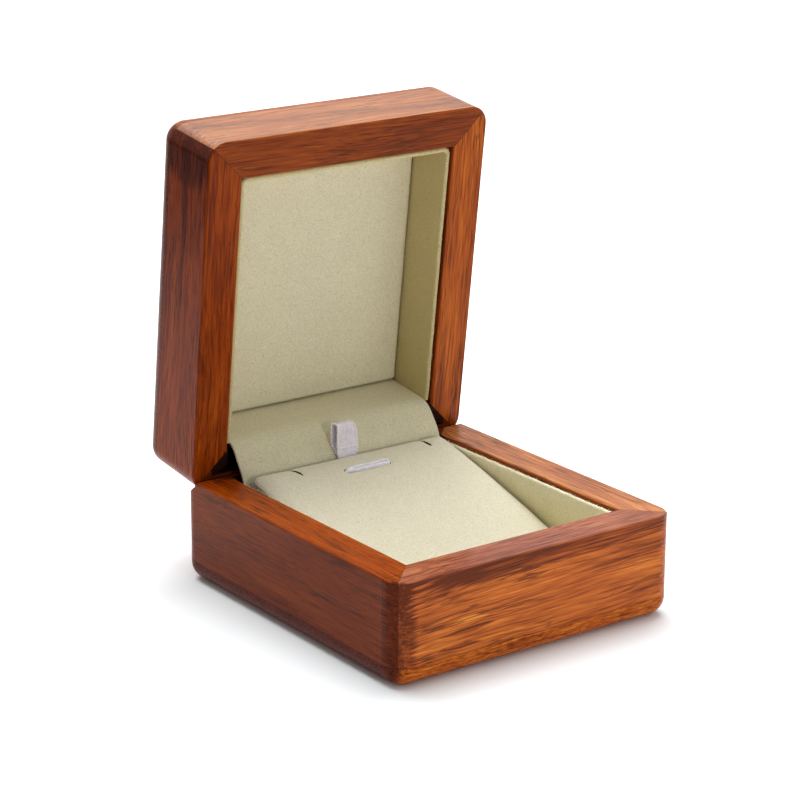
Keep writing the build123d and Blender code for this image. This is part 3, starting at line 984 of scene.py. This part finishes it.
# Painted shade: the sides of the slits, the slot and the notch are near black, as if no light reached
# into them.
slit_shade = microsuede("slit_shade", colour(38, 31, 22))


def prism(name, outline, low=0.0, high=60.0):
    """An upright cutter over an outline, in millimetres, that lines the sides of what it cuts with
    painted shade, near black.
    """
    count = len(outline)
    points = [(x, y, low) for x, y in outline] + [(x, y, high) for x, y in outline]
    faces = [tuple(range(count - 1, -1, -1)), tuple(range(count, 2 * count))]
    faces += [(i, (i + 1) % count, (i + 1) % count + count, i + count) for i in range(count)]
    return piece(name, points, faces, slit_shade)


def slot_outline(half_length, half_width, count=10):
    """A long hole with round ends about the slot's middle."""
    outline = []
    for side in (1, -1):
        for i in range(count + 1):
            way = -side * pi / 2 + pi * i / count
            x = slot_middle.x + side * (half_length - half_width) + half_width * cos(way)
            outline.append((x, slot_middle.y + half_width * sin(way)))
    return outline


def slit_outline(path):
    """A narrow leaf along a slit: half open at the back, widest past its middle, shut at the front."""
    right, left = [], []
    for i, p in enumerate(path):
        t = i / (len(path) - 1)
        half = slit_width / 2 * min(1.0, 4.0 * (1 - t)) ** 0.6 * (0.45 + 0.55 * min(1.0, 1.6 * t))
        right.append((p.x + half, p.y))
        left.append((p.x - half, p.y))
    return left + right[::-1][1:]


# The hole in the cloth is a little smaller than the slot in the board
slot_hole = slot_outline(slot_half_length - 0.25, slot_half_width - 0.15)
notch = [(-2.95, 34.05), (3.35, 34.05), (3.35, 40.0), (-2.95, 40.0)]
cutters = [prism("slot_cutter", slot_hole)]
cutters += [prism(f"slit_cutter_{i}", slit_outline(path)) for i, path in enumerate(slits)]
cutters.append(prism("notch_cutter", notch))
for cutter in cutters:
    cut = pad.modifiers.new("Cut", "BOOLEAN")
    cut.operation, cut.solver, cut.object = "DIFFERENCE", "EXACT", cutter
    cut.material_mode = "TRANSFER"
pad.data = evaluated(pad)
pad.modifiers.clear()
for cutter in cutters:
    bpy.data.objects.remove(cutter)
pad.data.set_sharp_from_angle(angle=radians(55))
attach(pad, "pad")
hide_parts("pad_cover", "pad_foam")


# Satin loop in the slot: a band of white ribbon set on edge, so two strands lie side by side. They
# meet in a point at the left, keep a small eye at the right, and are glued under the board.

def satin(name, threads_along, deep, pale, contrast=0.5):
    """White satin with a lilac sheen, between two tints, and fine threads along one axis."""
    material, shader, tree = new_material(name)
    x, y, z = tree.node("ShaderNodeTexCoord", output=3).axes()
    fine, long = 5200.0, 260.0
    reach = [long if axis == threads_along else fine for axis in "XYZ"]
    threads = tree.join(x * reach[0], y * reach[1], z * reach[2]).cloud(2.0) - 0.5
    folds = tree.join(x * 600.0, y * 600.0, z * 600.0).cloud(2.0) - 0.5
    tone = 0.5 + threads * contrast + folds * 0.7
    feed(shader, tone.step(0.1, 0.9).blend_to(deep, pale), "Base Color")
    feed(shader, 0.3 + threads * 0.3, "Roughness")
    bump = tree.node("ShaderNodeBump", inputs={"Height": threads, "Strength": 0.4, "Distance": 0.00006})
    feed(shader, bump, "Normal")
    shader.inputs["Sheen Weight"].default_value = 0.4
    shader.inputs["Sheen Roughness"].default_value = 0.3
    return material


loop_satin = satin("slot_satin", "X", colour(222, 218, 236), colour(255, 254, 255), 0.8)
strand_half, strand_rise, strand_depth = 0.43, 0.42, 4.0
pad_thick = 2.9
tip_x, eye_x, eye_radius = -7.0, 5.9, 0.68

# The loop seen from above, about the slot's middle: along one strand, round the eye and back
centre_line = []
for side in (-1, 1):
    for i in range(37):
        t = i / 36 if side < 0 else 1 - i / 36
        gap = 0.56 * min(1.0, 0.25 + 3.2 * t) + 0.16 * max(0.0, (t - 0.75) / 0.25)
        centre_line.append(Vector((tip_x + (eye_x - tip_x) * t, side * gap)))
    if side < 0:
        for k in range(1, 8):
            way = pi * k / 8
            centre_line.append(Vector((eye_x + eye_radius * sin(way), -eye_radius * cos(way))))

# Across the strand: a rounded top, and sides that go down through the slot
around = 14
points = []
for i, here in enumerate(centre_line):
    way = (centre_line[(i + 1) % len(centre_line)] - centre_line[i - 1]).normalized()
    out = Vector((way.y, -way.x))
    from_tip = here.x - tip_x
    top = under_pad(slot_middle.y + here.y) + pad_thick + strand_rise - 0.75 * exp(-from_tip / 0.7)
    top += 0.05 * soft_noise(here.x, here.y * 2, 0.0, 2.6, 7.7)
    half = strand_half * min(1.0, 0.45 + from_tip / 1.6)
    for k in range(around):
        turn = 2 * pi * k / around
        wide, tall = cos(turn), sin(turn)
        aside = half * (1 if wide > 0 else -1) * abs(wide) ** 0.55
        z = top - 0.3 + 0.3 * max(0.0, tall) ** 0.6 - strand_depth * max(0.0, -tall)
        flat = slot_middle + here + out * aside
        points.append((flat.x, flat.y, z))
faces = []
for i in range(len(centre_line)):
    here, ahead = i * around, (i + 1) % len(centre_line) * around
    for k in range(around):
        j = (k + 1) % around
        faces.append((here + k, ahead + k, ahead + j, here + j))
piece("slot_satin_loop", points, faces, loop_satin, "pad", None, ("slot_ribbon",))


# Pull tab: a short loop of 6 mm satin ribbon with a flat top and a row of tiny picot loops woven
# along both edges. Its two legs go down behind the pad and are glued to the board.

tab_satin = satin("tab_satin", "Z", colour(222, 214, 240), colour(255, 251, 255))
tab_thick = 0.3
front_foot_y, front_y, behind_y, back_foot_y = 34.3, 34.475, 36.6, 34.66
foot_z, neck_z, tab_top = 27.0, 29.3, 37.1

# The ribbon in side view: up the front leg, over the flat top, and down behind
tab_corners = [
    (front_foot_y, foot_z),
    (front_foot_y, neck_z),
    (front_y, neck_z + 1.0),
    (front_y, tab_top),
    (behind_y, tab_top),
    (behind_y, 31.2),
    (back_foot_y, foot_z + 0.8),
    (back_foot_y, foot_z),
]
tab_path = rounded_path(tab_corners, radius=0.4, step=0.28)


def tab_edges(y, z):
    """Where the ribbon's left and right edges lie at one place of its path."""
    high = min(1.0, max(0.0, (z - neck_z) / (tab_top - neck_z)))
    behind = max(0.0, (y - front_y) / 2.1) * min(1.0, high * 4.0)
    return -2.9 - 0.5 * behind, 3.2 - 1.25 * high**3 - 0.5 * behind


points = []
for (y, z), normal in zip(tab_path, path_normals(tab_path)):
    left, right = tab_edges(y, z)
    for face_side in (1, -1):
        for k in range(13):
            across = (-1 + k / 6) * face_side
            x = (left + right) / 2 + across * (right - left) / 2
            off = face_side * tab_thick / 2 * (1 - 0.5 * (abs(across) > 0.95))
            off += 0.04 * soft_noise(x, y, z, 1.8, 4.4) - 0.08 * across * across
            points.append((x, y + normal.x * off, z + normal.y * off))
faces = tube_faces(len(tab_path), 26)
tab = piece("pull_tab_satin", points, faces, tab_satin, "pad", None, ("pull_tab",))
picot_thread = satin("picot_thread", "Z", colour(255, 253, 255), colour(255, 255, 255))


def picot_row(name, path):
    """A row of tiny thread knots along a path, in millimetres."""
    nodes = Tree(name, {"Spacing": 0.0007, "Knot radius": 0.0003})
    line = nodes.add("GeometryNodeMeshToCurve", inputs={0: nodes.size("Geometry")})
    line = nodes.add(
        "GeometryNodeResampleCurve", {"mode": "LENGTH"}, {"Curve": line, "Length": nodes.size("Spacing")}
    )
    knot = nodes.add(
        "GeometryNodeMeshIcoSphere", inputs={"Radius": nodes.size("Knot radius"), "Subdivisions": 1}
    )
    spread = nodes.add("GeometryNodeInstanceOnPoints", inputs={"Points": line, "Instance": knot})
    return nodes.run(name, path, picot_thread, spread)


# One row along each edge, and one across the front leg just above the pad
tab_rows = []
seen_path = [(y, z) for y, z in tab_path if z > neck_z - 0.4]
for index, (label, out) in enumerate((("left", -0.14), ("right", 0.14))):
    edge = [(tab_edges(y, z)[index] + out, y - 0.05, z) for y, z in seen_path]
    tab_rows.append(picot_row(f"tab_picots_{label}", edge))
low_row = [(-2.6 + 5.6 * i / 8, 34.3, 30.5) for i in range(9)]
tab_rows.append(picot_row("tab_picots_low", low_row))
for row in tab_rows:
    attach(row, "pad")
for soft in [tab] + tab_rows:
    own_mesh(soft)


# Studio: a white table that keeps the box's soft shadow, a large lamp above and behind, small ones in
# front and to the right, and a white surround. The table's left edge lies just outside the photo, so
# the box's left faces mirror the dark below the horizon beyond it.

def table_white():
    """Matt white, with a painted faint blue near the box that cancels the wood's reddish bounce light,
    glowing far out so that it meets the surround.
    """
    material = bpy.data.materials.new("white_table")
    material.use_nodes = True
    tree = material.node_tree
    tree.nodes.clear()
    shade = Shade(tree)
    place = shade.node("ShaderNodeTexCoord", output=3)
    x, y, z = place.axes()
    # Painted counter-tint: a faint blue near the box cancels the reddish light that the wood bounces onto
    # the table.
    beside = (x * x * 170.0 + y * y * 150.0 + place.cloud(2.0) * 0.05).step(1.5, 0.4)
    tint = beside.blend_to((1.0, 1.0, 1.0, 1.0), (0.94, 0.985, 1.0, 1.0))
    matt = shade.node("ShaderNodeBsdfDiffuse", inputs={"Color": tint})
    # Only the camera and mirroring faces see the glow, so it lights nothing
    seen = shade.node("ShaderNodeLightPath", output=0) + shade.node("ShaderNodeLightPath", output=3)
    far_out = (x * x + y * y).step(0.5, 2.0)
    strength = seen * (far_out + 0.02)
    glow = shade.node("ShaderNodeEmission", inputs={"Color": (1, 1, 1, 1), "Strength": strength})
    both = shade.node("ShaderNodeAddShader", inputs={0: matt, 1: glow})
    out = tree.nodes.new("ShaderNodeOutputMaterial")
    tree.links.new(both.socket, out.inputs["Surface"])
    return material


left, right, near, far = -0.205, 4.0, -4.0, 4.0
data = bpy.data.meshes.new("table")
corners = [(left, near, 0.0), (right, near, 0.0), (right, far, 0.0), (left, far, 0.0)]
data.from_pydata(corners, [], [(0, 1, 2, 3)])
data.materials.append(table_white())
table = bpy.data.objects.new("table", data)
bpy.context.scene.collection.objects.link(table)


def lamp(name, place, target, size, watts):
    """A rectangular lamp, in metres, that looks at a target."""
    light = bpy.data.lights.new(name, "AREA")
    light.shape, light.size, light.size_y = "RECTANGLE", size[0], size[1]
    light.energy = watts
    made = bpy.data.objects.new(name, light)
    made.location = place
    made.rotation_euler = (Vector(target) - Vector(place)).to_track_quat("-Z", "Y").to_euler()
    bpy.context.scene.collection.objects.link(made)


lamp("top_lamp", place=(0.2, 0.5, 1.1), target=(0.2, 0.5, 0.0), size=(1.2, 1.1), watts=22.5)
lamp("front_lamp", place=(0.05, -1.5, 0.36), target=(0, 0, 0.05), size=(0.35, 0.35), watts=4.0)
lamp("right_lamp", place=(1.2, -0.3, 0.8), target=(0, 0, 0.03), size=(0.5, 0.5), watts=1.5)

world = bpy.data.worlds.new("white_surround")
bpy.context.scene.world = world
world.use_nodes = True
world.node_tree.nodes.clear()
air = Shade(world.node_tree)
to_camera, to_mirror = [air.node("ShaderNodeLightPath", output=i) for i in (0, 3)]
rightward, _, upward = air.node("ShaderNodeTexCoord").axes()
# White to the camera and in mirroring faces above the horizon, and a weak sky for all other light
sky = 0.08 + rightward * 0.1 + upward.step(0.0, 1.2) * 0.62
strength = to_camera + to_mirror * upward.step(-0.03, 0.0) + (1.0 - to_camera - to_mirror) * sky
background = air.node("ShaderNodeBackground", inputs={"Color": (1, 1, 1, 1), "Strength": strength})
out = world.node_tree.nodes.new("ShaderNodeOutputWorld")
world.node_tree.links.new(background.socket, out.inputs["Surface"])


# Camera where the photographer stood: in front, to the left and a little above, with a long lens.

camera_data = bpy.data.cameras.new("camera")
camera_data.sensor_fit = "HORIZONTAL"
camera_data.angle = radians(16.889)
camera_data.clip_end = 20.0
camera = bpy.data.objects.new("camera", camera_data)
camera_place = (-0.38548, -0.51631, 0.25691)
turned, raised, roll = radians(-36.174), radians(17.617), radians(0.2756)
back = Vector((sin(turned) * cos(raised), -cos(turned) * cos(raised), sin(raised)))
level = Vector((cos(turned), sin(turned), 0.0))
upright = back.cross(level)
side_axis = level * cos(roll) + upright * sin(roll)
up_axis = upright * cos(roll) - level * sin(roll)
facing = Matrix((side_axis, up_axis, back)).transposed().to_4x4()
camera.matrix_world = Matrix.Translation(camera_place) @ facing
bpy.context.scene.collection.objects.link(camera)
bpy.context.scene.camera = camera
bpy.context.scene.view_settings.view_transform = "Standard"
